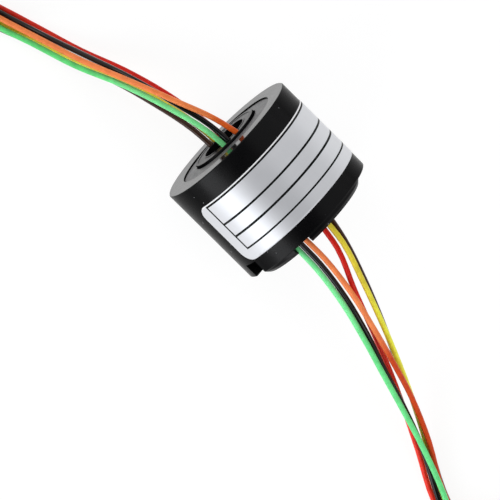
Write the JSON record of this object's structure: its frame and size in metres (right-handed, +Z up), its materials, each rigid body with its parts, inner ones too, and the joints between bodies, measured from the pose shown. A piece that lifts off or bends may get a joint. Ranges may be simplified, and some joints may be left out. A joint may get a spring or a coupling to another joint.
{
  "type": "slip ring",
  "caption": "Through-bore slip ring: round black housing with a foil label, a hollow rotor in ball bearings, gold contact rings and brushes, and flying leads at both ends.",
  "frame": {"origin": "under the middle of the body's length, at the bottom of its round side, on the surface it lies on", "axes": "+X along the bore axis towards the end where the rotor's leads leave; +Z up; the bore axis is 11 mm above the origin"},
  "size_m": [0.137, 0.0321, 0.0221],
  "materials": {
    "housing_black": "moulded black, glossy",
    "cover_grey": "fine-grained dark grey face",
    "cover_black": "moulded black, satin",
    "rotor_black": "turned black, satin",
    "foil": "satin silver foil with black ruled lines",
    "carrier": "natural plastic",
    "spring_steel": "plain",
    "gold": "gold-plated",
    "laminate": "glass-epoxy",
    "bearing_steel": "ground and polished",
    "cage_brass": "stamped",
    "tie_black": "black",
    "coil_mixed": "leads of six colours wound together",
    "lead_red": "smooth insulation",
    "lead_black": "smooth insulation",
    "lead_orange": "smooth insulation",
    "lead_yellow": "smooth insulation",
    "lead_green": "smooth insulation",
    "lead_brown": "smooth insulation"
  },
  "bodies": {
    "stator": {"housing": "housing_black", "front_cover": "cover_grey", "rear_cover": "cover_black", "label": "foil", "brush_block": "laminate", "brush_1": "gold", "brush_2": "gold", "brush_3": "gold", "brush_4": "gold", "brush_5": "gold", "brush_6": "gold", "front_bearing_outer": "bearing_steel", "rear_bearing_outer": "bearing_steel", "stator_lead_red": "lead_red", "stator_lead_black": "lead_black", "stator_lead_orange": "lead_orange", "stator_lead_yellow": "lead_yellow", "stator_lead_green": "lead_green", "stator_lead_brown": "lead_brown", "stator_lead_coil": "coil_mixed", "stator_lead_tie": "tie_black"},
    "rotor": {"rotor_core": "rotor_black", "ring_carrier": "carrier", "retaining_ring": "spring_steel", "contact_ring_1": "gold", "contact_ring_2": "gold", "contact_ring_3": "gold", "contact_ring_4": "gold", "contact_ring_5": "gold", "contact_ring_6": "gold", "front_bearing_inner": "bearing_steel", "rear_bearing_inner": "bearing_steel", "rotor_lead_red": "lead_red", "rotor_lead_black": "lead_black", "rotor_lead_orange": "lead_orange", "rotor_lead_yellow": "lead_yellow", "rotor_lead_green": "lead_green", "rotor_lead_brown": "lead_brown", "rotor_lead_coil": "coil_mixed", "rotor_lead_tie": "tie_black"},
    "front_balls": {"front_bearing_balls": "bearing_steel", "front_bearing_cage": "cage_brass"},
    "rear_balls": {"rear_bearing_balls": "bearing_steel", "rear_bearing_cage": "cage_brass"}
  },
  "joints": [
    {"name": "rotor_spin", "type": "hinge", "parent": "stator", "child": "rotor", "pos_m": [0, 0, 0.011], "axis": [1, 0, 0], "continuous": true},
    {"name": "front_cage_spin", "type": "hinge", "parent": "stator", "child": "front_balls", "pos_m": [0.00555, 0, 0.011], "axis": [1, 0, 0], "continuous": true},
    {"name": "rear_cage_spin", "type": "hinge", "parent": "stator", "child": "rear_balls", "pos_m": [-0.0052, 0, 0.011], "axis": [1, 0, 0], "continuous": true}
  ],
  "couplings": [
    {"joint": "front_cage_spin", "follows": "rotor_spin", "ratio": 0.4424},
    {"joint": "rear_cage_spin", "follows": "rotor_spin", "ratio": 0.4424}
  ]
}
